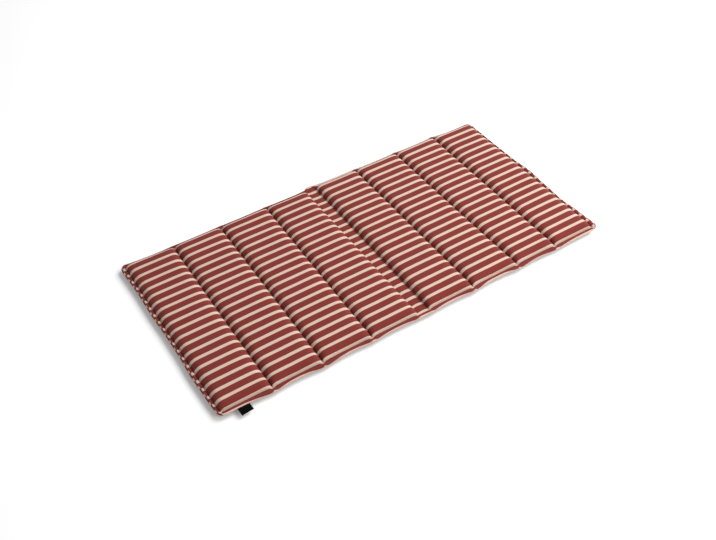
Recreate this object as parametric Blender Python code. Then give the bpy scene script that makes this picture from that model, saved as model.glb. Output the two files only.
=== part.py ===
"""Folding seat cushion, in metres, +Z up, lying open on its back.

Two panels of striped outdoor cloth are sewn together along seams that leave eight stuffed
channels, four on each side of a flat strip where the cushion folds. The panels meet in a
stitched lip all round. A plain label is sewn into the lip near one corner. The origin is
on the ground, under the middle of the whole outline.
"""

import math
from collections import namedtuple

import bmesh
import bpy
from mathutils import Vector

# Sizes seen from above. X runs across the channels, Y along them, with the near edge at -Y.
CHANNELS_IN_HALF = 4
CHANNEL_PITCH = 0.1215
END_CHANNEL = 0.1155
FOLD_STRIP = 0.0276
LIP_WIDTH = 0.0090
CORNER_RADIUS = 0.016

# Heights. The seams and the lip lie halfway up the cushion.
SEAM_HEIGHT = 0.0115
SEAM_THICKNESS = 0.0030
BEAD_THICKNESS = 0.0082
EDGE_THICKNESS = 0.0036

# The cloth rises from a seam in a quarter circle of this radius. It makes up most of the rise,
# and a wide quarter circle from the seam to the middle of the channel makes up the rest.
SHOULDER_RADIUS = 0.0135
SHOULDER_SHARE = 0.93

# Each line of stitching from left to right: its drift in X from an even spacing at its far end,
# middle and near end, and the Y of the lip's edge beyond its two ends.
Seam = namedtuple("Seam", "name far_drift mid_drift near_drift far_edge near_edge")
SEAMS = (
    Seam("left_stitching", -0.0032, -0.0027, -0.0029, 0.2515, -0.2464),
    Seam("seam_1_2", 0.0027, 0.0000, -0.0009, 0.2475, -0.2508),
    Seam("seam_2_3", 0.0033, 0.0006, -0.0027, 0.2482, -0.2520),
    Seam("seam_3_4", 0.0081, 0.0027, -0.0013, 0.2490, -0.2503),
    Seam("strip_left", -0.0014, -0.0008, -0.0016, 0.2490, -0.2506),
    Seam("strip_right", -0.0014, -0.0008, -0.0002, 0.2535, -0.2511),
    Seam("seam_5_6", -0.0031, -0.0006, 0.0004, 0.2515, -0.2516),
    Seam("seam_6_7", -0.0001, 0.0027, 0.0073, 0.2518, -0.2513),
    Seam("seam_7_8", -0.0005, 0.0000, -0.0006, 0.2528, -0.2512),
    Seam("right_stitching", 0.0010, 0.0028, 0.0010, 0.2472, -0.2490),
)

# Each panel between two lines of stitching: how far its crown stands above the seams and its
# belly below them, how far its ends are drawn in between the seams, how far its filling bulges
# out over the far lip, and how far the lip is lifted there.
Panel = namedtuple("Panel", "name crown belly far_in near_in far_bulge far_lift near_lift")
PANELS = (
    Panel("channel_1", 0.0131, 0.0102, 0.0046, 0.0022, 0.0055, 0.0012, -0.0004),
    Panel("channel_2", 0.0134, 0.0102, 0.0022, 0.0044, 0.0040, 0.0010, -0.0006),
    Panel("channel_3", 0.0131, 0.0102, 0.0028, 0.0038, 0.0035, 0.0010, -0.0008),
    Panel("channel_4", 0.0126, 0.0102, 0.0032, 0.0031, 0.0030, 0.0012, -0.0008),
    Panel("fold_strip", 0.0008, 0.0008, -0.0055, 0.0010, 0.0000, 0.0004, -0.0010),
    Panel("channel_5", 0.0130, 0.0102, 0.0028, 0.0036, 0.0010, 0.0010, -0.0008),
    Panel("channel_6", 0.0131, 0.0102, 0.0034, 0.0054, 0.0030, 0.0010, -0.0006),
    Panel("channel_7", 0.0128, 0.0102, 0.0046, 0.0034, 0.0045, 0.0014, -0.0006),
    Panel("channel_8", 0.0130, 0.0102, 0.0060, 0.0016, 0.0055, 0.0016, -0.0004),
)

# Waves of the two short edges: how far each bulges past its even line at a distance along Y,
# and how high the right one is lifted.
SideWave = namedtuple("SideWave", "y left_out right_out right_lift")
SIDE_WAVES = (
    SideWave(-0.245, -0.0032, 0.0053, 0.0036),
    SideWave(-0.185, -0.0011, 0.0025, 0.0024),
    SideWave(-0.125, 0.0003, -0.0013, 0.0000),
    SideWave(-0.060, -0.0019, 0.0005, 0.0008),
    SideWave(0.000, -0.0021, 0.0025, 0.0024),
    SideWave(0.070, -0.0004, -0.0015, 0.0006),
    SideWave(0.150, -0.0014, -0.0022, 0.0000),
    SideWave(0.245, 0.0008, -0.0025, 0.0004),
)

# Where the mesh has its lines: steps in from a seam or from the stitching at the ends of the
# channels, fractions of the fold strip, and fractions of the lip.
STEPS_FROM_SEAM = (0.0, 0.0018, 0.0055, 0.0115, 0.0230)
STRIP_FRACTIONS = (0.0, 0.5)
LIP_FRACTIONS = (0.3, 0.7, 1.0)
LENGTH_PARTS = 9

# The label, a folded tab of ribbon. It hangs from the lip of the first channel, turned so that
# its left corner starts a little further out.
LABEL_WIDTH = 0.0275
LABEL_LENGTH = 0.0156
LABEL_THICKNESS = 0.0012
LABEL_LEFT = -0.4628
LABEL_SKEW = 0.0014
LABEL_TURN = 0.0027
LABEL_DROP = 0.0030
LABEL_CURL = 1.4
LABEL_CELLS = (5, 4)
PIECE_GAP = 0.0004

CLOTH_RED = (0.235, 0.035, 0.028, 1.0)
LABEL_BLACK = (0.012, 0.012, 0.013, 1.0)


def mix(a, b, fraction):
    return a + (b - a) * fraction


def even_x(index):
    """X of a line of stitching if all were evenly spaced about the fold strip."""
    side = -1 if index <= CHANNELS_IN_HALF else 1
    steps = CHANNELS_IN_HALF - index if side < 0 else index - CHANNELS_IN_HALF - 1
    distance = FOLD_STRIP / 2 + min(steps, CHANNELS_IN_HALF - 1) * CHANNEL_PITCH
    if steps == CHANNELS_IN_HALF:
        distance += END_CHANNEL
    return side * distance


def seam_x(index, along):
    """X of a line of stitching, along it from -1 at the near end to 1 at the far end."""
    seam = SEAMS[index]
    slope = (seam.far_drift - seam.near_drift) / 2
    bend = (seam.far_drift + seam.near_drift) / 2 - seam.mid_drift
    return even_x(index) + seam.mid_drift + slope * along + bend * along**2


def side_wave(column, y):
    """A column of the side wave table at y, eased between its rows."""
    y = min(max(y, SIDE_WAVES[0].y), SIDE_WAVES[-1].y)
    for low, high in zip(SIDE_WAVES, SIDE_WAVES[1:]):
        if y <= high.y:
            fraction = (y - low.y) / (high.y - low.y)
            eased = fraction * fraction * (3 - 2 * fraction)
            return mix(getattr(low, column), getattr(high, column), eased)


def long_edge_y(panel, fraction, side):
    """Y of the lip's edge on the far side, 1, or the near side, -1, of a panel."""
    end = "far" if side > 0 else "near"
    left, right = (getattr(SEAMS[panel + step], end + "_edge") for step in (0, 1))
    drawn_in = getattr(PANELS[panel], end + "_in") * max(math.sin(math.pi * fraction), 0.0)
    return mix(left, right, fraction) - side * drawn_in


def short_edge_x(side, y, along):
    """X of the lip's edge at the left, -1, or at the right, 1."""
    index, column = (0, "left_out") if side < 0 else (len(SEAMS) - 1, "right_out")
    return seam_x(index, along) + side * (LIP_WIDTH + side_wave(column, y))


def quarter_circle(part):
    """Height of a quarter circle, 0 to 1, at a part of its radius."""
    part = min(max(part, 0.0), 1.0)
    return math.sqrt(1 - (1 - part) ** 2)


def shoulder(distance, half_width):
    """Rise of the cloth from 0 on a seam to 1 on the crown, at a distance from the seam."""
    steep = quarter_circle(distance / SHOULDER_RADIUS)
    return mix(quarter_circle(distance / half_width), steep, SHOULDER_SHARE)


def lip_thickness(share):
    """Thickness of the lip, which swells between its stitching, 0, and its edge, 1."""
    base = mix(SEAM_THICKNESS, EDGE_THICKNESS, share)
    return base + (BEAD_THICKNESS - base) * max(math.sin(math.pi * share), 0.0) ** 0.8


def round_corner(x, y):
    """Bend the square corner of the lip into a round one."""
    side_x, side_y = math.copysign(1, x), math.copysign(1, y)
    panel, fraction = (0, 0.0) if side_x < 0 else (len(PANELS) - 1, 1.0)
    corner_y = long_edge_y(panel, fraction, side_y)
    corner_x = short_edge_x(side_x, corner_y, side_y)
    centre_x, centre_y = corner_x - side_x * CORNER_RADIUS, corner_y - side_y * CORNER_RADIUS
    out_x, out_y = (x - centre_x) * side_x, (y - centre_y) * side_y
    if out_x <= 0 or out_y <= 0:
        return x, y
    scale = max(out_x, out_y) / math.hypot(out_x, out_y)
    return centre_x + side_x * out_x * scale, centre_y + side_y * out_y * scale


# One line of the mesh: a panel, a fraction of it, and a step out over the lip (or, below zero,
# in from the stitching). Lines that run across the channels have panel 0.
Line = namedtuple("Line", "panel fraction outward")


def lines_across_panels():
    """Lines along the channels, from the left lip to the right one."""
    lip_steps = [part * LIP_WIDTH for part in LIP_FRACTIONS]
    first_half = [step / CHANNEL_PITCH for step in STEPS_FROM_SEAM]
    channel_fractions = first_half + [0.5] + [1 - part for part in reversed(first_half[1:])]
    lines = [Line(0, 0.0, step) for step in reversed(lip_steps)]
    for index, panel in enumerate(PANELS):
        fractions = STRIP_FRACTIONS if panel.name == "fold_strip" else channel_fractions
        lines += [Line(index, fraction, 0.0) for fraction in fractions]
    last = len(PANELS) - 1
    return lines + [Line(last, 1.0, step) for step in [0.0] + lip_steps]


def lines_along_panels():
    """Lines across the channels, from the near lip to the far one."""
    lip_steps = [part * LIP_WIDTH for part in LIP_FRACTIONS]
    lines = [Line(0, 0.0, step) for step in reversed(lip_steps)]
    lines += [Line(0, 0.0, -step) for step in STEPS_FROM_SEAM]
    lines += [Line(0, part / LENGTH_PARTS, 0.0) for part in range(1, LENGTH_PARTS)]
    lines += [Line(0, 1.0, -step) for step in reversed(STEPS_FROM_SEAM)]
    return lines + [Line(0, 1.0, step) for step in lip_steps]


def cushion_point(column, row, layer):
    """Where two lines cross on the top cloth, layer 1, or on the bottom cloth, layer -1."""
    side_x = -1 if column.fraction < 0.5 else 1
    side_y = -1 if row.fraction < 0.5 else 1
    panel = PANELS[column.panel]

    near, far = (long_edge_y(column.panel, column.fraction, side) for side in (-1, 1))
    far_lip = LIP_WIDTH - panel.far_bulge * math.sin(math.pi * column.fraction)
    near_stitching, far_stitching = near + LIP_WIDTH, far - far_lip
    y = mix(near_stitching, far_stitching, row.fraction) + side_y * row.outward
    if side_y > 0 and row.outward > 0:
        y = far_stitching + far_lip * row.outward / LIP_WIDTH
    along = (y - near) / (far - near) * 2 - 1
    left, right = (seam_x(column.panel + step, along) for step in (0, 1))
    x = mix(left, right, column.fraction)

    across_lip = max(column.outward, 0.0) / LIP_WIDTH
    along_lip = max(row.outward, 0.0) / LIP_WIDTH
    if across_lip:
        x = mix(x, short_edge_x(side_x, y, along), across_lip)
    if across_lip or along_lip:
        lift = panel.far_lift if side_y > 0 else panel.near_lift
        height = SEAM_HEIGHT + lift * math.sin(math.pi * column.fraction) ** 2 * along_lip
        if side_x > 0:
            height += side_wave("right_lift", y) * across_lip
        height += layer * lip_thickness(max(across_lip, along_lip)) / 2
        return Vector((*round_corner(x, y), height))

    rise = shoulder(min(x - left, right - x), (right - left) / 2)
    rise *= shoulder(min(y - near_stitching, far_stitching - y), CHANNEL_PITCH / 2)
    if layer > 0:
        height = SEAM_HEIGHT + SEAM_THICKNESS / 2 + panel.crown * rise
    else:
        height = max(0.0, SEAM_HEIGHT - SEAM_THICKNESS / 2 - panel.belly * rise)
    return Vector((*round_corner(x, y), height))


def lip_edge_of_first_channel(x):
    """Y of the near lip's edge at a distance along it."""
    left, right = seam_x(0, -1), seam_x(1, -1)
    return long_edge_y(0, (x - left) / (right - left), -1)


def label_point(across, out, layer):
    """A point of the label, 0 to 1 across its width and out from the lip to its free end."""
    x = LABEL_LEFT + across * LABEL_WIDTH + LABEL_SKEW * out
    root_y = lip_edge_of_first_channel(x) - PIECE_GAP - LABEL_TURN * (1 - across)
    reach = math.sqrt(LABEL_LENGTH**2 - LABEL_DROP**2)
    z = SEAM_HEIGHT + PANELS[0].near_lift / 2 - LABEL_DROP * out**LABEL_CURL
    return Vector((x, root_y - reach * out, z + layer * LABEL_THICKNESS / 2))


def two_layer_mesh(name, cells_x, cells_y, point):
    """A closed mesh of two grids joined at their rim, each vertex placed by point."""
    bm = bmesh.new()
    bmesh.ops.create_grid(bm, x_segments=cells_x, y_segments=cells_y, size=1.0)
    raised = bmesh.ops.extrude_face_region(bm, geom=bm.faces[:], use_keep_orig=True)["geom"]
    top = {item for item in raised if isinstance(item, bmesh.types.BMVert)}
    for vert in bm.verts:
        column = round((vert.co.x + 1) / 2 * cells_x)
        row = round((vert.co.y + 1) / 2 * cells_y)
        vert.co = point(column, row, 1 if vert in top else -1)
    bmesh.ops.recalc_face_normals(bm, faces=bm.faces)
    mesh = bpy.data.meshes.new(name)
    bm.to_mesh(mesh)
    bm.free()
    return mesh


def cloth_material(name, colour, roughness):
    material = bpy.data.materials.new(name)
    material.use_nodes = True
    shader = material.node_tree.nodes["Principled BSDF"]
    shader.inputs["Base Color"].default_value = colour
    shader.inputs["Roughness"].default_value = roughness
    shader.inputs["Metallic"].default_value = 0.0
    return material


def add_object(collection, name, mesh, material):
    mesh.materials.append(material)
    mesh.shade_smooth()
    obj = bpy.data.objects.new(name, mesh)
    collection.objects.link(obj)
    return obj


def make_cushion(collection):
    """The two striped panels with their filling, as one body."""
    columns, rows = lines_across_panels(), lines_along_panels()

    def point(column, row, layer):
        return cushion_point(columns[column], rows[row], layer)

    mesh = two_layer_mesh("cushion", len(columns) - 1, len(rows) - 1, point)
    return add_object(collection, "cushion", mesh, cloth_material("striped_cloth", CLOTH_RED, 0.9))


def make_label(collection):
    """The ribbon tab, just clear of the edge of the lip."""
    cells_x, cells_y = LABEL_CELLS

    def point(column, row, layer):
        return label_point(column / cells_x, 1 - row / cells_y, layer)

    mesh = two_layer_mesh("label", cells_x, cells_y, point)
    return add_object(collection, "label", mesh, cloth_material("label_ribbon", LABEL_BLACK, 0.7))


def centre_on_origin(objects):
    """Bring the middle of the whole outline over the origin."""
    points = [vert.co for obj in objects for vert in obj.data.vertices]
    middle = [(min(axis) + max(axis)) / 2 for axis in zip(*points)]
    for obj in objects:
        obj.location = (-middle[0], -middle[1], 0.0)


for old_object in list(bpy.data.objects):
    bpy.data.objects.remove(old_object, do_unlink=True)

pieces = bpy.data.collections.new("folding_seat_cushion")
bpy.context.scene.collection.children.link(pieces)
centre_on_origin([make_cushion(pieces), make_label(pieces)])
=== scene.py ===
import math
from collections import namedtuple

import bpy
import numpy as np
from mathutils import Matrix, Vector, noise
from mathutils.bvhtree import BVHTree


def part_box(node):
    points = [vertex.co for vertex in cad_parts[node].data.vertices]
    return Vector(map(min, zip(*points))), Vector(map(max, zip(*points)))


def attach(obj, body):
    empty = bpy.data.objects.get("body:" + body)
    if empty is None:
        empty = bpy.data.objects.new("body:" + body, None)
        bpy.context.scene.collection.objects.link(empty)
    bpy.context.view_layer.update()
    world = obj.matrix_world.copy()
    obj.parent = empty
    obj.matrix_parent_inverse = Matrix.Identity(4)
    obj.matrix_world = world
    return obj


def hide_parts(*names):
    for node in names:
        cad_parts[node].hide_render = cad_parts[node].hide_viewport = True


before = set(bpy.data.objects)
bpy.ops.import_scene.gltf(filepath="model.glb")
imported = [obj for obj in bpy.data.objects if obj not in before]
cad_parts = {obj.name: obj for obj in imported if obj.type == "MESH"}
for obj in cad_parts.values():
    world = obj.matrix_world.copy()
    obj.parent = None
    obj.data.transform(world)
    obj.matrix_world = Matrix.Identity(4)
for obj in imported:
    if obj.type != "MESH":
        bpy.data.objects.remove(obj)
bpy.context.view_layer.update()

# The filled cushion: two layers of striped outdoor cloth, sewn together in long seams and
# stuffed with loose fibre between them. The seams leave eight channels and a flat strip in
# the middle, where the cushion folds. Round the rim both layers are turned in and stitched.
PITCH = 0.1215
END_CHANNEL = 0.1155
STRIP = 0.0276
LIP = 0.0090
CORNER = 0.016
SEAM_HEIGHT = 0.0115
SEAM_THICKNESS = 0.0012
PULLED_TIGHT = 0.0009
BEAD_THICKNESS = 0.0082
EDGE_THICKNESS = 0.0036
SHOULDER_RADIUS = 0.0135
SHOULDER_SHARE = 0.93
FILL_BEFORE_PRESSURE = 0.893

# The lines of stitching from left to right: how far each has drifted from its even place at
# its far end, its middle and its near end, and the Y of the lip's edge at its two ends.
Seam = namedtuple("Seam", "name far_drift mid_drift near_drift far_edge near_edge")
SEAMS = (
    Seam("left_stitching", -0.0032, -0.0027, -0.0029, 0.2515, -0.2464),
    Seam("seam_1_2", 0.0027, 0.0000, -0.0009, 0.2475, -0.2508),
    Seam("seam_2_3", 0.0033, 0.0006, -0.0027, 0.2482, -0.2520),
    Seam("seam_3_4", 0.0081, 0.0027, -0.0013, 0.2490, -0.2503),
    Seam("strip_left", -0.0014, -0.0008, -0.0016, 0.2490, -0.2506),
    Seam("strip_right", -0.0014, -0.0008, -0.0002, 0.2535, -0.2511),
    Seam("seam_5_6", -0.0031, -0.0006, 0.0004, 0.2515, -0.2516),
    Seam("seam_6_7", -0.0001, 0.0027, 0.0073, 0.2518, -0.2513),
    Seam("seam_7_8", -0.0005, 0.0000, -0.0006, 0.2528, -0.2512),
    Seam("right_stitching", 0.0010, 0.0028, 0.0010, 0.2472, -0.2490),
)
STRIP_LEFT, STRIP_RIGHT = 4, 5
FULL_CHANNELS = 3

# The panels between those lines: how far each stands out above and below, how far the lip is
# drawn in at its two ends, how far its far end bulges over the lip, and how far the lip lifts.
Panel = namedtuple("Panel", "name crown belly far_in near_in far_bulge far_lift near_lift")
PANELS = (
    Panel("channel_1", 0.0131, 0.0102, 0.0046, 0.0022, 0.0055, 0.0012, -0.0004),
    Panel("channel_2", 0.0134, 0.0102, 0.0022, 0.0044, 0.0040, 0.0010, -0.0006),
    Panel("channel_3", 0.0131, 0.0102, 0.0028, 0.0038, 0.0035, 0.0010, -0.0008),
    Panel("channel_4", 0.0126, 0.0102, 0.0032, 0.0031, 0.0030, 0.0012, -0.0008),
    Panel("fold_strip", 0.0008, 0.0008, -0.0055, 0.0010, 0.0000, 0.0004, -0.0010),
    Panel("channel_5", 0.0130, 0.0102, 0.0028, 0.0036, 0.0010, 0.0010, -0.0008),
    Panel("channel_6", 0.0131, 0.0102, 0.0034, 0.0054, 0.0030, 0.0010, -0.0006),
    Panel("channel_7", 0.0128, 0.0102, 0.0046, 0.0034, 0.0045, 0.0014, -0.0006),
    Panel("channel_8", 0.0130, 0.0102, 0.0060, 0.0016, 0.0055, 0.0016, -0.0004),
)

# How far the two short edges wave outward at places along them, and the right one's lift.
SideWave = namedtuple("SideWave", "y left_out right_out right_lift")
SIDE_WAVES = (
    SideWave(-0.245, -0.0032, 0.0053, 0.0036),
    SideWave(-0.185, -0.0011, 0.0025, 0.0024),
    SideWave(-0.125, 0.0003, -0.0013, 0.0000),
    SideWave(-0.060, -0.0019, 0.0005, 0.0008),
    SideWave(0.000, -0.0021, 0.0025, 0.0024),
    SideWave(0.070, -0.0004, -0.0015, 0.0006),
    SideWave(0.150, -0.0014, -0.0022, 0.0000),
    SideWave(0.245, 0.0008, -0.0025, 0.0004),
)


def mix(a, b, fraction):
    """The value at a fraction of the way from a to b."""
    return a + (b - a) * fraction


def even_x(index):
    """X of a line of stitching if all were evenly spaced about the fold strip."""
    side = -1 if index <= STRIP_LEFT else 1
    steps = STRIP_LEFT - index if side < 0 else index - STRIP_RIGHT
    end_channel = END_CHANNEL if steps > FULL_CHANNELS else 0.0
    return side * (STRIP / 2 + min(steps, FULL_CHANNELS) * PITCH + end_channel)


def seam_x(index, along):
    """X of a line of stitching, along it from -1 at the near end to 1 at the far end."""
    seam = SEAMS[index]
    slope = (seam.far_drift - seam.near_drift) / 2
    bend = (seam.far_drift + seam.near_drift) / 2 - seam.mid_drift
    return even_x(index) + seam.mid_drift + slope * along + bend * along**2


def side_wave(column, y):
    """A column of the side wave table at y, eased between its rows."""
    y = min(max(y, SIDE_WAVES[0].y), SIDE_WAVES[-1].y)
    for low, high in zip(SIDE_WAVES, SIDE_WAVES[1:]):
        if y <= high.y:
            fraction = (y - low.y) / (high.y - low.y)
            eased = fraction * fraction * (3 - 2 * fraction)
            return mix(getattr(low, column), getattr(high, column), eased)


def long_edge_y(panel, fraction, side):
    """Y of the lip's edge on the far side, 1, or the near side, -1, of a panel."""
    end = "far" if side > 0 else "near"
    left, right = (getattr(SEAMS[panel + step], end + "_edge") for step in (0, 1))
    drawn_in = getattr(PANELS[panel], end + "_in") * max(math.sin(math.pi * fraction), 0.0)
    return mix(left, right, fraction) - side * drawn_in


def short_edge_x(side, y, along):
    """X of the lip's edge at the left, -1, or at the right, 1."""
    index, column = (0, "left_out") if side < 0 else (len(SEAMS) - 1, "right_out")
    return seam_x(index, along) + side * (LIP + side_wave(column, y))


def quarter_circle(part):
    """Height of a quarter circle, 0 to 1, at a part of its radius."""
    part = min(max(part, 0.0), 1.0)
    return math.sqrt(1 - (1 - part) ** 2)


def shoulder(distance, half_width):
    """Rise of the cloth from 0 on a seam to 1 on the crown, at a distance from the seam."""
    steep = quarter_circle(distance / SHOULDER_RADIUS)
    return mix(quarter_circle(distance / half_width), steep, SHOULDER_SHARE)


def round_corner(x, y):
    """Bend the square corner of the lip into a round one."""
    side_x, side_y = math.copysign(1, x), math.copysign(1, y)
    panel, fraction = (0, 0.0) if side_x < 0 else (len(PANELS) - 1, 1.0)
    corner_y = long_edge_y(panel, fraction, side_y)
    corner_x = short_edge_x(side_x, corner_y, side_y)
    centre_x, centre_y = corner_x - side_x * CORNER, corner_y - side_y * CORNER
    out_x, out_y = (x - centre_x) * side_x, (y - centre_y) * side_y
    if out_x <= 0 or out_y <= 0:
        return x, y
    scale = max(out_x, out_y) / math.hypot(out_x, out_y)
    return centre_x + side_x * out_x * scale, centre_y + side_y * out_y * scale


# The cloth's mesh has lines along and across the channels, closer together at the seams. A
# line lies at a fraction of its panel's width, or of the channels' length, and then a step
# outward from there: on the lip the step is above zero, and inside the stitching below it.
Line = namedtuple("Line", "panel fraction outward")
STEPS_FROM_SEAM = (0.0, 0.0014, 0.0036, 0.0068, 0.0115, 0.0200, 0.0370)
END_STEPS = STEPS_FROM_SEAM[:6]
HALF_CHANNEL = tuple(step / PITCH for step in STEPS_FROM_SEAM)
CHANNEL_FRACTIONS = HALF_CHANNEL + (0.5,) + tuple(1 - f for f in reversed(HALF_CHANNEL[1:]))
STRIP_FRACTIONS = (0.0, 0.08, 0.33, 0.67, 0.92)
LIP_SHARES = (0.14, 0.34, 0.58, 0.78, 0.90, 1.0)
LIP_STEPS = tuple(share * LIP for share in LIP_SHARES)
LENGTH_PARTS = 74
FIRST_EVEN_PART = 5
EVEN_PARTS = range(FIRST_EVEN_PART, LENGTH_PARTS - FIRST_EVEN_PART + 1)

columns = [Line(0, 0.0, step) for step in reversed(LIP_STEPS)]
for number, panel in enumerate(PANELS):
    fractions = STRIP_FRACTIONS if panel.name == "fold_strip" else CHANNEL_FRACTIONS
    columns += [Line(number, fraction, 0.0) for fraction in fractions]
columns += [Line(len(PANELS) - 1, 1.0, step) for step in (0.0,) + LIP_STEPS]
rows = [Line(0, 0.0, step) for step in reversed(LIP_STEPS)]
rows += [Line(0, 0.0, -step) for step in END_STEPS]
rows += [Line(0, part / LENGTH_PARTS, 0.0) for part in EVEN_PARTS]
rows += [Line(0, 1.0, -step) for step in reversed(END_STEPS)]
rows += [Line(0, 1.0, step) for step in LIP_STEPS]

# The joint where the top cloth meets the bottom cloth, which comes up round the edge to it.
JOINT_STEP = 3
JOINT_DENT = 0.0007
EDGE_BULGE = 0.0009
TURNED_UP = 0.0032
BEAD_ROUNDNESS = 0.8


def lip_thickness(share):
    """Thickness of the lip, which swells between its stitching, 0, and its edge, 1."""
    base = mix(SEAM_THICKNESS, EDGE_THICKNESS, share)
    swelling = max(math.sin(math.pi * share), 0.0) ** BEAD_ROUNDNESS
    return base + (BEAD_THICKNESS - base) * swelling


def cushion_point(column, row, layer):
    """Where two lines cross on the top cloth, layer 1, or on the bottom cloth, layer -1."""
    side_x = -1 if column.fraction < 0.5 else 1
    side_y = -1 if row.fraction < 0.5 else 1
    panel = PANELS[column.panel]
    near, far = (long_edge_y(column.panel, column.fraction, side) for side in (-1, 1))
    far_lip = LIP - panel.far_bulge * math.sin(math.pi * column.fraction)
    near_stitching, far_stitching = near + LIP, far - far_lip
    y = mix(near_stitching, far_stitching, row.fraction) + side_y * row.outward
    if side_y > 0 and row.outward > 0:
        y = far_stitching + far_lip * row.outward / LIP
    along = (y - near) / (far - near) * 2 - 1
    left, right = (seam_x(column.panel + step, along) for step in (0, 1))
    x = mix(left, right, column.fraction)

    across_lip = max(column.outward, 0.0) / LIP
    along_lip = max(row.outward, 0.0) / LIP
    if across_lip:
        x = mix(x, short_edge_x(side_x, y, along), across_lip)
    if across_lip or along_lip:
        share = max(across_lip, along_lip)
        lift = panel.far_lift if side_y > 0 else panel.near_lift
        height = SEAM_HEIGHT + lift * math.sin(math.pi * column.fraction) ** 2 * along_lip
        if side_x > 0:
            height += side_wave("right_lift", y) * across_lip
        height += layer * lip_thickness(share) / 2
        if layer > 0 and math.isclose(share, LIP_SHARES[JOINT_STEP]):
            height -= JOINT_DENT
        return (*round_corner(x, y), height)

    rise = shoulder(min(x - left, right - x), (right - left) / 2)
    rise *= shoulder(min(y - near_stitching, far_stitching - y), PITCH / 2)
    rise *= FILL_BEFORE_PRESSURE
    bulge = panel.crown if layer > 0 else panel.belly
    stands_out = SEAM_THICKNESS / 2 + (PULLED_TIGHT + bulge) * rise
    return (*round_corner(x, y), SEAM_HEIGHT + layer * stands_out)


# Both layers as arrays of points, the top one first, moved so that they lie centred on the
# middle of the solid's outline.
layers = np.array([[[cushion_point(c, r, layer) for r in rows] for c in columns] for layer in (1, -1)])
solid_low, solid_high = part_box("cushion")
outline_low, outline_high = layers.reshape(-1, 3).min(0), layers.reshape(-1, 3).max(0)
shift = [(solid_low[i] + solid_high[i] - outline_low[i] - outline_high[i]) / 2 for i in (0, 1)]
layers[..., 0] += shift[0]
layers[..., 1] += shift[1]

# Where each point lies in the flat cloth, in metres from its middle. The bottom layer lies
# about half a stripe further along, and the cloth of a channel slips a little in the sewing.
# Both are given as two lengths, the first at the near end and the second at the far end.
CLOTH_WIDTH = 0.5
STRIPE_PITCH = 0.0237
BOTTOM_SLIPS = (0.0145, 0.0118)
PANEL_SLIPS = (
    (0.0011, 0.0011),
    (0.0000, 0.0000),
    (0.0001, 0.0001),
    (0.0001, 0.0001),
    (0.0016, -0.0024),
    (-0.0009, -0.0009),
    (0.0001, 0.0001),
    (0.0007, 0.0007),
    (-0.0012, -0.0012),
)
SLIP_EASE = 0.005
column_count, row_count = len(columns), len(rows)
middle_row, middle_column = row_count // 2, column_count // 2


def flat_lengths(points, axis, middle):
    """Length along the cloth from its middle line, for every point of the grid."""
    steps = np.linalg.norm(np.diff(points, axis=axis), axis=-1)
    total = np.insert(np.cumsum(steps, axis=axis), 0, 0.0, axis=axis)
    return total - np.take(total, [middle], axis=axis)


def share_along(y):
    """How far y is along the channels, from 0 at the near end to 1 at the far end."""
    return (y - shift[1]) / CLOTH_WIDTH + 0.5


def slip(x, y):
    """How far the cloth has slipped along the channels, changing from one to the next."""
    seams = [even_x(index) + SEAMS[index].mid_drift + shift[0] for index in range(1, len(PANELS))]
    beside_seams = [place + step for place in seams for step in (-SLIP_EASE, SLIP_EASE)]
    slips = np.repeat(PANEL_SLIPS, 2, axis=0)[1:-1]
    near, far = (np.interp(x, beside_seams, slips[:, end]) for end in (0, 1))
    return mix(near, far, share_along(y))


flat_x = flat_lengths(layers, 1, middle_column)
flat_y = flat_lengths(layers, 2, middle_row) + layers[:, :, [middle_row], 1] - shift[1]
flat_y -= slip(layers[..., 0], layers[..., 1])
flat_y[1] += mix(*BOTTOM_SLIPS, share_along(layers[1, ..., 1]))
flat = np.stack([flat_x, flat_y], axis=-1)


def closed_sheet(wide, long):
    """Faces between two grids of points and around their rim, with the rim's points in order."""
    number = np.arange(2 * wide * long).reshape(2, wide, long)
    quads = []
    for c in range(wide - 1):
        for r in range(long - 1):
            for block, turn in ((number[0], 1), (number[1], -1)):
                quads.append([block[c, r], block[c + 1, r], block[c + 1, r + 1], block[c, r + 1]][::turn])
    rim = [(c, 0) for c in range(wide - 1)] + [(wide - 1, r) for r in range(long - 1)]
    rim += [(c, long - 1) for c in range(wide - 1, 0, -1)] + [(0, r) for r in range(long - 1, 0, -1)]
    return [[int(corner) for corner in quad] for quad in quads], rim


def rim_faces(rim, levels):
    """Faces that join rows of point numbers, one row below the other, all round the rim."""
    faces = []
    for upper, lower in zip(levels, levels[1:]):
        for i in range(len(rim)):
            j = (i + 1) % len(rim)
            faces.append([int(upper[i]), int(lower[i]), int(lower[j]), int(upper[j])])
    return faces


# The turned edge. Past the joint, the top faces carry the bottom cloth's pattern.
past_joint = len(LIP_STEPS) - 1 - JOINT_STEP


def outward(column, row):
    """Direction away from the middle in the flat cloth, zero inside the joint."""
    out_x = (column >= column_count - 1 - past_joint) - (column <= past_joint)
    out_y = (row >= row_count - 1 - past_joint) - (row <= past_joint)
    return np.array([out_x, out_y]) / max(math.hypot(out_x, out_y), 1.0)


def nearest_on_rim(number, count):
    """A line's number, or that of the outermost line beside it when it is past the joint."""
    if number <= past_joint:
        return 0
    return count - 1 if number >= count - 1 - past_joint else number


def turned_flat(column, row):
    """The bottom layer's flat place where it has come up to a point past the joint."""
    steps_in = min(column, row, column_count - 1 - column, row_count - 1 - row)
    way_in = LIP - LIP_STEPS[-1 - steps_in]
    nearest = (nearest_on_rim(column, column_count), nearest_on_rim(row, row_count))
    return flat[(1, *nearest)] + outward(column, row) * (TURNED_UP + way_in)


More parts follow.
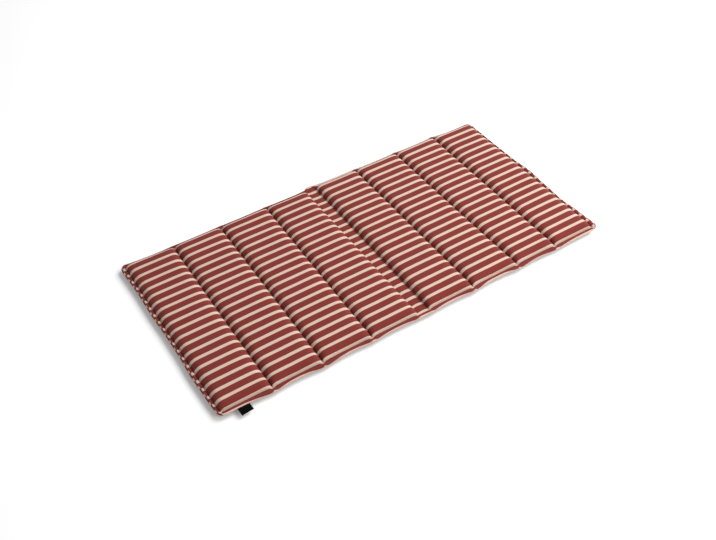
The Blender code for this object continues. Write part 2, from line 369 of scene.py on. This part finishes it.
faces, rim = closed_sheet(column_count, row_count)
face_flat = []
for c in range(column_count - 1):
    for r in range(row_count - 1):
        corners = [(c, r), (c + 1, r), (c + 1, r + 1), (c, r + 1)]
        if min(c, r, column_count - 2 - c, row_count - 2 - r) < past_joint:
            face_flat.extend(turned_flat(*at) for at in corners)
        else:
            face_flat.extend(flat[(0, *at)] for at in corners)
        face_flat.extend(flat[(1, *at)] for at in reversed(corners))

rim_out = [outward(*at) for at in rim]
ring_points = [
    mix(layers[(0, *at)], layers[(1, *at)], 0.5) + np.array([*out, 0.0]) * EDGE_BULGE
    for at, out in zip(rim, rim_out)
]
number = np.arange(layers.size // 3).reshape(2, column_count, row_count)
ring = list(range(number.size, number.size + len(rim)))
faces += rim_faces(rim, [[number[(0, *at)] for at in rim], ring, [number[(1, *at)] for at in rim]])
share_up = (1.0, 0.5, 0.0)
for level in (0, 1):
    for i in range(len(rim)):
        j = (i + 1) % len(rim)
        for corner, step in ((i, level), (i, level + 1), (j, level + 1), (j, level)):
            up = TURNED_UP * share_up[step]
            face_flat.append(flat[(1, *rim[corner])] + rim_out[corner] * up)

points = np.concatenate([layers.reshape(-1, 3), np.array(ring_points)])
cushion_mesh = bpy.data.meshes.new("striped_cushion")
cushion_mesh.from_pydata(points.tolist(), [], faces)
cloth_uv = cushion_mesh.uv_layers.new(name="flat_cloth")
cloth_uv.data.foreach_set("uv", np.array(face_flat).ravel())
cushion = bpy.data.objects.new("striped_cushion", cushion_mesh)
bpy.context.scene.collection.objects.link(cushion)

# The filling presses the cloth out while the seams, the strip and the lip hold still. This is
# worked out on a coarse copy of the cloth, and the fine one follows it.
PRESSURE = 4.0
PRESSING_FRAMES = 20
SPARE_CLOTH = 0.012
MOST_SWELL = 0.0014
COARSE_STEPS = (0.0, 0.0068, 0.0200, 0.0370)
COARSE_END_STEPS = COARSE_STEPS[1:3]


def is_held(column, row):
    """Whether the point where two lines cross is held: on a seam, the strip or the lip."""
    strip = PANELS[column.panel].name == "fold_strip"
    on_lip = column.outward > 0 or (row.outward >= 0 and row.fraction in (0.0, 1.0))
    return strip or on_lip or column.fraction in (0.0, 1.0)


def is_coarse_column(line):
    """Whether the coarse copy has this line along the channels."""
    from_seam = min(line.fraction, 1 - line.fraction) * PITCH
    at_step = any(math.isclose(from_seam, step, abs_tol=1e-6) for step in COARSE_STEPS)
    return line.outward == 0 and (at_step or line.fraction == 0.5)


def is_coarse_row(line):
    """Whether the coarse copy has this line across: two near each end, then every other one."""
    part = round(line.fraction * LENGTH_PARTS)
    return -line.outward in COARSE_END_STEPS or (line.outward == 0 and part % 2 == 0)


def follow_weights(count, kept):
    """How far each line follows each kept line, by even steps between them."""
    return np.stack([np.interp(range(count), kept, unit) for unit in np.eye(len(kept))], axis=1)


def swell():
    """How far each point of both layers is pressed out by the filling."""
    kept_columns = [i for i, line in enumerate(columns) if is_coarse_column(line)]
    kept_columns = [0] + kept_columns + [column_count - 1]
    kept_rows = [0] + [i for i, line in enumerate(rows) if is_coarse_row(line)] + [row_count - 1]
    coarse = layers[:, kept_columns][:, :, kept_rows]
    number = np.arange(coarse.size // 3).reshape(coarse.shape[:3])
    quads, rim = closed_sheet(len(kept_columns), len(kept_rows))
    quads += rim_faces(rim, [[number[(layer, *at)] for at in rim] for layer in (0, 1)])
    mesh = bpy.data.meshes.new("coarse_cloth")
    mesh.from_pydata(coarse.reshape(-1, 3).tolist(), [], quads)
    coarse_cloth = bpy.data.objects.new("coarse_cloth", mesh)
    bpy.context.scene.collection.objects.link(coarse_cloth)
    held = coarse_cloth.vertex_groups.new(name="held")
    for i, c in enumerate(kept_columns):
        for j, r in enumerate(kept_rows):
            if is_held(columns[c], rows[r]):
                held.add([int(number[0, i, j]), int(number[1, i, j])], 1.0, "REPLACE")

    pressing = coarse_cloth.modifiers.new("filling", "CLOTH")
    settings = pressing.settings
    settings.quality = 5
    settings.mass = 0.3
    settings.tension_stiffness = 15
    settings.compression_stiffness = 15
    settings.shear_stiffness = 5
    settings.bending_stiffness = 0.5
    settings.vertex_group_mass = held.name
    settings.shrink_min = -SPARE_CLOTH
    settings.use_pressure = True
    settings.uniform_pressure_force = PRESSURE
    settings.effector_weights.gravity = 0.0
    pressing.point_cache.frame_start = 1
    pressing.point_cache.frame_end = PRESSING_FRAMES
    for step in range(1, PRESSING_FRAMES + 1):
        bpy.context.scene.frame_set(step)
    pressed = coarse_cloth.evaluated_get(bpy.context.evaluated_depsgraph_get()).to_mesh()
    places = np.empty(coarse.size)
    pressed.vertices.foreach_get("co", places)
    bpy.data.objects.remove(coarse_cloth)
    bpy.context.scene.frame_set(1)

    move = places.reshape(coarse.shape) - coarse
    size = np.linalg.norm(move, axis=-1, keepdims=True)
    move *= np.minimum(1.0, MOST_SWELL / np.maximum(size, 1e-9))
    across = follow_weights(column_count, kept_columns)
    return np.einsum("ic,jr,lcrk->lijk", across, follow_weights(row_count, kept_rows), move)


points[: number.size] += swell().reshape(-1, 3)
points[:, 2] = np.maximum(points[:, 2], 0.0)
cushion_mesh.vertices.foreach_set("co", points.ravel())
fine = cushion.modifiers.new("fine", "SUBSURF")
fine.levels = fine.render_levels = 1
fine.uv_smooth = "NONE"
fine_mesh = bpy.data.meshes.new_from_object(cushion.evaluated_get(bpy.context.evaluated_depsgraph_get()))
cushion.modifiers.clear()
cushion.data = fine_mesh
bpy.data.meshes.remove(cushion_mesh)
fine_mesh.name = "striped_cushion"
fine_mesh.shade_smooth()

# Short puckers run off the stitches into the cloth, and the filling is a little lumpy on the
# top. Where the cloth rests on the floor, and near the channels' ends, it stays even. Each
# seam, side of a seam and face has its own place in the noise, a step from the others.
PUCKER_DEPTH = 0.0011
STRIP_PUCKER_DEPTH = 0.000275
PUCKER_LENGTH = 0.011
PUCKER_START = 0.004
PUCKER_REACH = 0.013
PUCKER_SEAM_STEP = 7.1
PUCKER_SIDE_STEP = 3.3
PUCKER_FACE_STEP = 5.7
LUMP_HEIGHT = 0.00050
LUMP_SIZE = 0.055
LUMP_SEAM_STEP = 0.3
LUMP_FACE_STEP = 3.1
LUMPS_START = 0.03
EVEN_ENDS = 0.96
END_EASE = 0.1
RESTS_BELOW = 0.0008


def lumpiness(x, y, z):
    """How far the cloth stands out at a point, from the puckers and lumps there."""
    side = 1 if z > SEAM_HEIGHT else -1
    along = min(max((y - shift[1]) / (CLOTH_WIDTH / 2), -1.0), 1.0)
    lines = [seam_x(index, along) + shift[0] for index in range(len(SEAMS))]
    if not lines[0] < x < lines[-1] or abs(along) > EVEN_ENDS:
        return 0.0
    nearest = min(range(len(lines)), key=lambda index: abs(x - lines[index]))
    from_seam = abs(x - lines[nearest])
    reach = min(from_seam / PUCKER_START, 1.0) * max(1.0 - from_seam / PUCKER_REACH, 0.0)
    beside_seam = nearest * PUCKER_SEAM_STEP + (x > lines[nearest]) * PUCKER_SIDE_STEP
    pucker = noise.noise((beside_seam, y / PUCKER_LENGTH, side * PUCKER_FACE_STEP))
    if lines[STRIP_LEFT] < x < lines[STRIP_RIGHT]:
        return STRIP_PUCKER_DEPTH * reach * pucker
    crown = min(from_seam / LUMPS_START, 1.0) * min((EVEN_ENDS - abs(along)) / END_EASE, 1.0)
    lump_depth = side * LUMP_FACE_STEP + nearest * LUMP_SEAM_STEP
    lump = noise.noise((x / LUMP_SIZE, y / LUMP_SIZE, lump_depth))
    return PUCKER_DEPTH * reach * pucker + LUMP_HEIGHT * crown * lump * (side > 0)


places = np.empty(len(fine_mesh.vertices) * 3)
fine_mesh.vertices.foreach_get("co", places)
places = places.reshape(-1, 3)
normals = np.array([tuple(vertex.normal) for vertex in fine_mesh.vertices])
stands_out = [lumpiness(*place) if place[2] > RESTS_BELOW else 0.0 for place in places]
places += normals * np.array(stands_out)[:, None]
fine_mesh.vertices.foreach_set("co", places.ravel())
fine_mesh.update()


class Wire:
    """A socket among a material's nodes. Arithmetic on it adds Math nodes."""

    def __init__(self, tree, socket=None):
        self.tree = tree
        self.socket = socket

    def node(self, kind, settings=None, inputs=None, output=0):
        """Add any node: its settings first, then the values or links of its sockets."""
        made = self.tree.nodes.new(kind)
        for name, value in (settings or {}).items():
            setattr(made, name, value)
        for name, value in (inputs or {}).items():
            if isinstance(value, Wire):
                self.tree.links.new(value.socket, made.inputs[name])
            else:
                made.inputs[name].default_value = value
        return Wire(self.tree, made.outputs[output])

    def math(self, operation, *values):
        """A Math node on this value and any others."""
        inputs = dict(enumerate((self,) + values))
        return self.node("ShaderNodeMath", {"operation": operation}, inputs)

    def __add__(self, other):
        return self.math("ADD", other)

    __radd__ = __add__

    def __sub__(self, other):
        return self.math("SUBTRACT", other)

    def __rsub__(self, other):
        return self * -1 + other

    def __mul__(self, other):
        return self.math("MULTIPLY", other)

    __rmul__ = __mul__

    def __truediv__(self, other):
        return self.math("DIVIDE", other)

    def blend(self, first, second):
        """Mix two colours by this factor."""
        inputs = {0: self, 6: first, 7: second}
        return self.node("ShaderNodeMix", {"data_type": "RGBA"}, inputs, output=2)

    def feed(self, shader, name):
        """Link this to one of the shader's sockets."""
        self.tree.links.new(self.socket, shader.inputs[name])


def new_material(name, roughness):
    """A material with a Principled shader: its shader node, and a wire to start from."""
    material = bpy.data.materials.new(name)
    material.use_nodes = True
    shader = material.node_tree.nodes["Principled BSDF"]
    shader.inputs["Roughness"].default_value = roughness
    return material, shader, Wire(material.node_tree)


# The cloth's plain weave of dyed yarn: each thread passes over and under its neighbours, and cream
# stripes run across the channels. The colour is darkened between the threads as painted shade, and it
# also varies at random with the yarn's own uneven tone.
CREAM_WIDTH = 0.0077
STRIPE_START = -0.0039
STRIPE_SOFTNESS = 0.0003
STRIPE_RAGGEDNESS = 0.0004
THREAD = 0.00085
THREAD_STEP = 7.3
FIBRE_STREAKS_PER_METRE = 60
PATCHES_PER_METRE = 14.0
WEAVE_SHADE, FIBRE_SHADE, PATCH_SHADE, LEAST_SHADE = 0.45, 0.6, 0.35, 0.1
RED = (0.180, 0.024, 0.017, 1.0)
DEEP_RED = (0.120, 0.014, 0.010, 1.0)
CREAM = (0.560, 0.412, 0.340, 1.0)
DULL_CREAM = (0.450, 0.328, 0.268, 1.0)

cloth_material, cloth_shader, wires = new_material("striped_cloth", roughness=0.88)
cloth_shader.inputs["Sheen Weight"].default_value = 0.08
cloth_shader.inputs["Sheen Roughness"].default_value = 0.45
cloth_shader.inputs["Specular IOR Level"].default_value = 0.2
place = wires.node("ShaderNodeUVMap", {"uv_map": "flat_cloth"})
along_stripe = wires.node("ShaderNodeSeparateXYZ", None, {0: place}, output=0)
across_stripes = wires.node("ShaderNodeSeparateXYZ", None, {0: place}, output=1)
warp_number = (across_stripes / THREAD).math("FLOOR")
weft_number = (along_stripe / THREAD).math("FLOOR")


def thread_back(position):
    """Round back of a thread, 0 between two threads and 1 on top of one."""
    return (position * (math.pi / THREAD)).math("SINE").math("ABSOLUTE")


def over_and_under(position, number):
    """1 where a thread lies on top and 0 where it dives under."""
    return ((position / THREAD + number) * math.pi).math("SINE") * 0.5 + 0.5


warp = thread_back(across_stripes) * over_and_under(along_stripe, warp_number)
weft = thread_back(along_stripe) * (1 - over_and_under(across_stripes, weft_number))
weave = warp.math("MAXIMUM", weft)
streaks = {0: along_stripe * FIBRE_STREAKS_PER_METRE, 1: warp_number * THREAD_STEP}
streak_place = wires.node("ShaderNodeCombineXYZ", None, streaks)
flat_noise = {"noise_dimensions": "2D"}
fibre_size = {"Vector": streak_place, "Scale": 1.0, "Detail": 2.0}
fibre = wires.node("ShaderNodeTexNoise", flat_noise, fibre_size)
patch_size = {"Vector": place, "Scale": PATCHES_PER_METRE, "Detail": 3.0}
patch = wires.node("ShaderNodeTexNoise", flat_noise, patch_size)

from_cream = ((across_stripes - STRIPE_START) / STRIPE_PITCH + 0.5).math("FRACT") - 0.5
ragged = from_cream.math("ABSOLUTE") * STRIPE_PITCH + (fibre - 0.5) * STRIPE_RAGGEDNESS
cream_share = wires.node(
    "ShaderNodeMapRange",
    {"interpolation_type": "SMOOTHSTEP"},
    {
        "Value": ragged,
        "From Min": CREAM_WIDTH / 2 - STRIPE_SOFTNESS,
        "From Max": CREAM_WIDTH / 2 + STRIPE_SOFTNESS,
        "To Min": 1.0,
        "To Max": 0.0,
    },
)
# Painted shade: the weave term darkens the colour where threads dive under their neighbours; the fibre
# and patch terms are the yarn's own uneven tone.
shade = weave * WEAVE_SHADE + fibre * FIBRE_SHADE + patch * PATCH_SHADE - LEAST_SHADE
shade = wires.node("ShaderNodeClamp", None, {0: shade})
colour = cream_share.blend(shade.blend(DEEP_RED, RED), shade.blend(DULL_CREAM, CREAM))
colour.feed(cloth_shader, "Base Color")
cloth_relief = {"Strength": 0.35, "Distance": 0.0003, "Height": weave + fibre * 0.3}
wires.node("ShaderNodeBump", None, cloth_relief).feed(cloth_shader, "Normal")
fine_mesh.materials.append(cloth_material)

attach(cushion, "root")
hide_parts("cushion")

# The stitches that sew the two layers together: short lengths of dark red polyester thread,
# one behind the other along each of the eight inner seams, on the top and on the bottom.
STITCH_SPACING = 0.0033
STITCH_LENGTH = 0.0026
THREAD_WIDTH = 0.0006
cloth_surface = BVHTree.FromObject(cushion, bpy.context.evaluated_depsgraph_get())


def stitch_places(path):
    """Even steps along a path of points: place on the cloth, direction, and way out of it."""
    path = np.array(path)
    total = np.insert(np.cumsum(np.linalg.norm(np.diff(path, axis=0), axis=1)), 0, 0.0)
    steps = np.arange(STITCH_SPACING / 2, total[-1], STITCH_SPACING)
    on_path = np.stack([np.interp(steps, total, path[:, axis]) for axis in range(3)], axis=1)
    for here, ahead in zip(on_path, on_path[1:]):
        place, normal = cloth_surface.find_nearest(Vector(here))[:2]
        yield place, Vector(ahead - here).normalized(), normal


def stitch_tree(name, material):
    """Geometry Nodes that lay one stitch of thread on every point of a mesh."""
    tree = bpy.data.node_groups.new(name, "GeometryNodeTree")
    tree.interface.new_socket("Stitch places", in_out="INPUT", socket_type="NodeSocketGeometry")
    length = tree.interface.new_socket("Stitch length", in_out="INPUT", socket_type="NodeSocketFloat")
    width = tree.interface.new_socket("Thread width", in_out="INPUT", socket_type="NodeSocketFloat")
    tree.interface.new_socket("Stitches", in_out="OUTPUT", socket_type="NodeSocketGeometry")
    given = tree.nodes.new("NodeGroupInput")
    result = tree.nodes.new("NodeGroupOutput")
    wires = Wire(tree)
    places, stitch_length, thread_width = (Wire(tree, given.outputs[i]) for i in range(3))
    ball_size = {"Segments": 6, "Rings": 5, "Radius": 0.5}
    ball = wires.node("GeometryNodeMeshUVSphere", None, ball_size)
    size = wires.node("ShaderNodeCombineXYZ", None, {0: thread_width, 1: stitch_length, 2: thread_width})
    stitch = wires.node("GeometryNodeTransform", None, {"Geometry": ball, "Scale": size})
    vector = {"data_type": "FLOAT_VECTOR"}
    direction = wires.node("GeometryNodeInputNamedAttribute", vector, {"Name": "direction"})
    way_out = wires.node("GeometryNodeInputNamedAttribute", vector, {"Name": "way_out"})
    axes = {"primary_axis": "Y", "secondary_axis": "Z"}
    turn = wires.node("FunctionNodeAxesToRotation", axes, {0: direction, 1: way_out})
    laid = wires.node(
        "GeometryNodeInstanceOnPoints", None, {"Points": places, "Instance": stitch, "Rotation": turn}
    )
    real = wires.node("GeometryNodeRealizeInstances", None, {0: laid})
    smooth = wires.node("GeometryNodeSetShadeSmooth", None, {0: real})
    made = wires.node("GeometryNodeSetMaterial", None, {"Geometry": smooth, "Material": material})
    tree.links.new(made.socket, result.inputs[0])
    return tree, length.identifier, width.identifier


def sew(name, paths):
    """One piece with a stitch at every step along the paths."""
    stitches = [stitch for path in paths for stitch in stitch_places(path)]
    mesh = bpy.data.meshes.new(name)
    mesh.from_pydata([stitch[0] for stitch in stitches], [], [])
    for number, attribute in ((1, "direction"), (2, "way_out")):
        values = mesh.attributes.new(attribute, "FLOAT_VECTOR", "POINT")
        values.data.foreach_set("vector", np.array([stitch[number] for stitch in stitches]).ravel())
    sewn = bpy.data.objects.new(name, mesh)
    bpy.context.scene.collection.objects.link(sewn)
    tree, length_input, width_input = stitch_tree(name, thread_material)
    sewing = sewn.modifiers.new("sewing", "NODES")
    sewing.node_group = tree
    sewing[length_input] = STITCH_LENGTH
    sewing[width_input] = THREAD_WIDTH
    evaluated = sewn.evaluated_get(bpy.context.evaluated_depsgraph_get())
    plain_mesh = bpy.data.meshes.new_from_object(evaluated)
    sewn.modifiers.clear()
    sewn.data = plain_mesh
    for attribute in ("direction", "way_out"):
        if attribute in plain_mesh.attributes:
            plain_mesh.attributes.remove(plain_mesh.attributes[attribute])
    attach(sewn, "root")


THREAD_RED = (0.085, 0.012, 0.010, 1.0)
THREAD_DARK = (0.045, 0.007, 0.006, 1.0)
TWISTS_PER_METRE = 1400.0
thread_material, thread_shader, wires = new_material("sewing_thread", roughness=0.6)
thread_shader.inputs["Specular IOR Level"].default_value = 0.3
thread_place = wires.node("ShaderNodeTexCoord", None, None, output=3)
twist_size = {"Vector": thread_place, "Scale": TWISTS_PER_METRE, "Detail": 1.0}
twist = wires.node("ShaderNodeTexNoise", None, twist_size)
twist.blend(THREAD_DARK, THREAD_RED).feed(thread_shader, "Base Color")
twist_relief = {"Strength": 0.4, "Distance": 0.0001, "Height": twist}
wires.node("ShaderNodeBump", None, twist_relief).feed(thread_shader, "Normal")

seam_columns = [i for i, line in enumerate(columns) if line.panel > 0 and line.fraction == 0]
inner_rows = slice(len(LIP_STEPS), row_count - len(LIP_STEPS))
sew("channel_stitches", [layers[layer, c, inner_rows] for layer in (0, 1) for c in seam_columns])

# The stitches of the lip: the same thread, in one line all round on both faces, just outside
# the place where the filling ends.
first_line = len(LIP_STEPS) - 1
last_column, last_row = column_count - 1 - first_line, row_count - 1 - first_line
lip_paths = []
for layer in (0, 1):
    round_lip = [layers[layer, c, first_line] for c in range(first_line, last_column)]
    round_lip += [layers[layer, last_column, r] for r in range(first_line, last_row)]
    round_lip += [layers[layer, c, last_row] for c in range(last_column, first_line, -1)]
    round_lip += [layers[layer, first_line, r] for r in range(last_row, first_line - 1, -1)]
    lip_paths.append(round_lip)
sew("lip_stitches", lip_paths)

# The label: a tab of plain black ribbon, folded once. Its two ends are caught between the
# layers when the lip is stitched, and its fold hangs free and droops a little.
LABEL_WIDTH = 0.0275
LABEL_LENGTH = 0.0156
LABEL_LEFT = -0.4628
LABEL_SKEW = 0.0014
LABEL_TURN = 0.0027
LABEL_DROP = 0.0030
LABEL_CURL = 1.4
LABEL_WAVE = 0.0003
CAUGHT_LENGTH = 0.0045
RIBBON_THICKNESS = 0.0004
HALF_GAP = 0.0001
RIBBON_STEPS = 12
FOLD_STEPS = 4
ACROSS_LINES = 13
NUDGE = 0.01


def lip_edge_of_first_channel(x):
    """Y of the near lip's edge at a place along the first channel's end."""
    left, right = seam_x(0, -1), seam_x(1, -1)
    return long_edge_y(0, (x - left) / (right - left), -1)


def label_middle(across, out):
    """A point between the tab's two layers, where out is 0 at the lip's edge, 1 at the fold."""
    x = LABEL_LEFT + across * LABEL_WIDTH + LABEL_SKEW * out
    root_y = lip_edge_of_first_channel(x) - LABEL_TURN * (1 - across)
    reach = math.sqrt(LABEL_LENGTH**2 - LABEL_DROP**2)
    wave = LABEL_WAVE * math.sin(math.pi * across) * max(out, 0.0)
    z = SEAM_HEIGHT + PANELS[0].near_lift / 2 + wave - LABEL_DROP * max(out, 0.0) ** LABEL_CURL
    return Vector((x + shift[0], root_y - reach * out + shift[1], z))


def ribbon_point(across, step, outer):
    """A point of the ribbon at a step of its length, on its outer or its inner face."""
    away = HALF_GAP + (RIBBON_THICKNESS if outer else 0.0)
    start = -CAUGHT_LENGTH / LABEL_LENGTH
    if step < RIBBON_STEPS:
        out, angle = mix(start, 1.0, step / RIBBON_STEPS), math.pi / 2
    elif step <= RIBBON_STEPS + FOLD_STEPS:
        out, angle = 1.0, math.pi * (0.5 - (step - RIBBON_STEPS) / FOLD_STEPS)
    else:
        out, angle = mix(1.0, start, (step - RIBBON_STEPS - FOLD_STEPS) / RIBBON_STEPS), -math.pi / 2
    along = (label_middle(across, out + NUDGE) - label_middle(across, out - NUDGE)).normalized()
    up = Vector((1, 0, 0)).cross(-along).normalized()
    up = up if up.z > 0 else -up
    return label_middle(across, out) + (up * math.sin(angle) + along * math.cos(angle)) * away


def ribbon_line(across, outer):
    """Points along the whole ribbon, from one caught end over the fold to the other."""
    return [ribbon_point(across, step, outer) for step in range(ribbon_lines)]


ribbon_lines = 2 * RIBBON_STEPS + FOLD_STEPS + 1
across_shares = [i / (ACROSS_LINES - 1) for i in range(ACROSS_LINES)]
ribbon_grid = np.array(
    [[ribbon_line(across, outer) for across in across_shares] for outer in (True, False)]
)
faces, rim = closed_sheet(ACROSS_LINES, ribbon_lines)
number = np.arange(ribbon_grid.size // 3).reshape(ribbon_grid.shape[:3])
faces += rim_faces(rim, [[number[(layer, *at)] for at in rim] for layer in (0, 1)])
label_mesh = bpy.data.meshes.new("label_ribbon")
label_mesh.from_pydata(ribbon_grid.reshape(-1, 3).tolist(), [], faces)
length_along = flat_lengths(ribbon_grid, 2, 0)
ribbon_uv = label_mesh.uv_layers.new(name="flat_ribbon")
for loop in label_mesh.loops:
    layer, i, step = np.unravel_index(loop.vertex_index, number.shape)
    ribbon_uv.data[loop.index].uv = (across_shares[i] * LABEL_WIDTH, length_along[layer, i, step])
label_mesh.shade_smooth()
label = bpy.data.objects.new("label_ribbon", label_mesh)
bpy.context.scene.collection.objects.link(label)

# Ribbon woven with fine ribs across its width, in two near blacks. The darker one is painted shade in the
# grooves between the ribs, mixed with the yarn's own uneven tone.
RIB = 0.0005
YARNS_PER_METRE = 900.0
BLACK = (0.0024, 0.0024, 0.0026, 1.0)
DEEP_BLACK = (0.0008, 0.0008, 0.0010, 1.0)
label_material, label_shader, wires = new_material("label_ribbon", roughness=0.75)
label_shader.inputs["Specular IOR Level"].default_value = 0.03
place = wires.node("ShaderNodeUVMap", {"uv_map": "flat_ribbon"})
along_ribbon = wires.node("ShaderNodeSeparateXYZ", None, {0: place}, output=1)
rib = (along_ribbon * (math.pi / RIB)).math("SINE").math("ABSOLUTE")
yarn_size = {"Vector": place, "Scale": YARNS_PER_METRE, "Detail": 2.0}
yarn = wires.node("ShaderNodeTexNoise", flat_noise, yarn_size)
# Painted shade in the grooves between the ribs, mixed with the yarn's own uneven tone.
(rib * 0.5 + yarn * 0.5).blend(DEEP_BLACK, BLACK).feed(label_shader, "Base Color")
ribbon_relief = {"Strength": 0.4, "Distance": 0.0002, "Height": rib + yarn * 0.4}
wires.node("ShaderNodeBump", None, ribbon_relief).feed(label_shader, "Normal")
label_mesh.materials.append(label_material)

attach(label, "root")
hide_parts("label")

# The floor and the light: a white studio floor with no edge in view, a large soft light at
# the right, and a small one in front that fills the shadow along the near edge.
bpy.ops.mesh.primitive_plane_add(size=30.0, location=(0, 0, 0))
floor = bpy.context.active_object
floor.name = "floor"
floor_material, floor_shader = new_material("floor", roughness=0.9)[:2]
floor_shader.inputs["Base Color"].default_value = (0.74, 0.74, 0.74, 1.0)
floor_shader.inputs["Specular IOR Level"].default_value = 0.0
floor_shader.inputs["Emission Color"].default_value = (1.0, 1.0, 1.0, 1.0)
floor_shader.inputs["Emission Strength"].default_value = 0.14
floor.data.materials.append(floor_material)

world = bpy.data.worlds.new("studio")
world.use_nodes = True
world.node_tree.nodes["Background"].inputs["Color"].default_value = (1.0, 1.0, 1.0, 1.0)
world.node_tree.nodes["Background"].inputs["Strength"].default_value = 0.42
bpy.context.scene.world = world

Lamp = namedtuple("Lamp", "name place size watts")
LAMPS = (
    Lamp("softbox", (2.95, 0.20, 2.90), 3.6, 245),
    Lamp("near_fill", (0.70, -1.70, 1.50), 1.2, 24),
)
for lamp in LAMPS:
    light_data = bpy.data.lights.new(lamp.name, "AREA")
    light_data.shape = "DISK"
    light_data.size = lamp.size
    light_data.energy = lamp.watts
    light = bpy.data.objects.new(lamp.name, light_data)
    light.location = lamp.place
    light.rotation_euler = (-Vector(lamp.place)).to_track_quat("-Z", "Y").to_euler()
    bpy.context.scene.collection.objects.link(light)
bpy.context.scene.view_settings.view_transform = "Standard"

# The camera stands at the near left, on the side of the corner that holds the label, and
# looks down at about the middle of the cushion.
CAMERA_PLACE = Vector((-0.8348 + shift[0], -1.2636 + shift[1], 1.5050))
CAMERA_TARGET = Vector((-0.0451 + shift[0], -0.0446 + shift[1], 0.0))
camera_data = bpy.data.cameras.new("camera")
camera_data.lens = 45.53
camera_data.sensor_width = 36.0
camera = bpy.data.objects.new("camera", camera_data)
camera.location = CAMERA_PLACE
camera.rotation_euler = (CAMERA_TARGET - CAMERA_PLACE).to_track_quat("-Z", "Y").to_euler()
bpy.context.scene.collection.objects.link(camera)
bpy.context.scene.camera = camera
